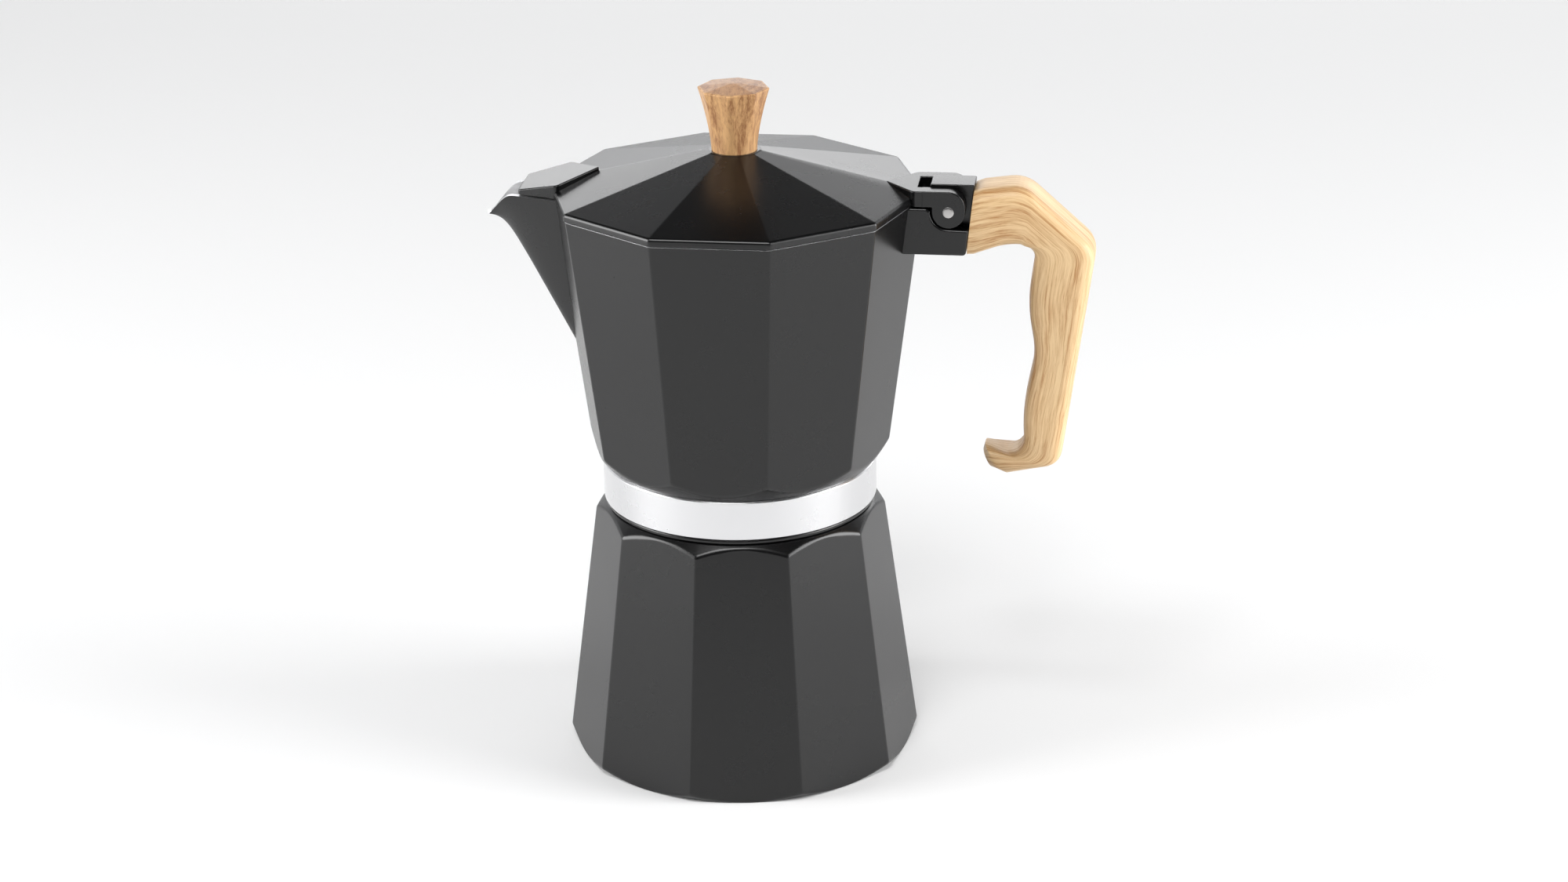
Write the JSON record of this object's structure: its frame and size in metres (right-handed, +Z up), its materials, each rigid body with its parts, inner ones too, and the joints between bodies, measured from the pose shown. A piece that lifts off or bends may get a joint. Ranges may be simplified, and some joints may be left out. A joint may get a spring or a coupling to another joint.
{
  "type": "moka pot",
  "caption": "Stovetop moka pot: faceted black boiler and pot, bare threaded band, hinged lid with spout cover, wood-effect knob and handle, funnel, filter and relief valve.",
  "frame": {"origin": "on the pot's axis, at the face the boiler stands on", "axes": "+Z up along the pot's axis, +X towards the handle, -X towards the spout, -Y towards the side that faces a person who holds the handle in the right hand"},
  "size_m": [0.1844, 0.1084, 0.2122],
  "materials": {
    "black_coat": "satin black coating on cast aluminium",
    "bare_aluminium": "satin turned",
    "wood_effect": "printed light wood grain on moulded plastic, satin",
    "pin_steel": "plain steel",
    "valve_brass": "machined",
    "seal_rubber": "pale silicone"
  },
  "bodies": {
    "base": {"boiler": "black_coat", "valve_seal": "seal_rubber", "valve_body": "valve_brass", "valve_cap": "valve_brass", "valve_spring": "pin_steel"},
    "valve": {"valve_stem": "pin_steel"},
    "basket": {"funnel": "bare_aluminium", "funnel_strainer": "bare_aluminium"},
    "filter": {"gasket": "seal_rubber", "filter_plate": "bare_aluminium"},
    "upper": {"pot": "black_coat", "skirt_band": "bare_aluminium", "riser": "bare_aluminium", "riser_cap": "bare_aluminium", "handle": "wood_effect", "handle_screw": "pin_steel"},
    "cover": {"lid": "black_coat", "hinge_pin": "pin_steel", "knob": "wood_effect", "knob_insert": "valve_brass", "knob_washer": "pin_steel", "knob_screw": "pin_steel"}
  },
  "joints": [
    {"name": "pot_lift", "type": "slide", "parent": "base", "child": "filter", "axis": [0, 0, 1], "range_m": [0, 0.12]},
    {"name": "pot_unscrew", "type": "hinge", "parent": "filter", "child": "upper", "pos_m": [0, 0, 0.09], "axis": [0, 0, 1], "range_deg": [0, 450]},
    {"name": "funnel_lift", "type": "slide", "parent": "base", "child": "basket", "axis": [0, 0, 1], "range_m": [0, 0.09]},
    {"name": "lid_hinge", "type": "hinge", "parent": "upper", "child": "cover", "pos_m": [0.065, 0, 0.1769], "axis": [0, 1, 0], "range_deg": [0, 95]},
    {"name": "relief_valve", "type": "slide", "parent": "base", "child": "valve", "axis": [-0.144, 0.9813, 0.1274], "range_m": [0, 0.0015], "stiffness_N_per_m": 1000, "springref_m": -0.0038, "deforming": ["valve_spring"]}
  ],
  "couplings": [
    {"joint": "pot_unscrew", "follows": "pot_lift", "rad_per_m": 65.45},
    {"joint": "funnel_lift", "follows": "pot_lift", "ratio": 0.7}
  ]
}
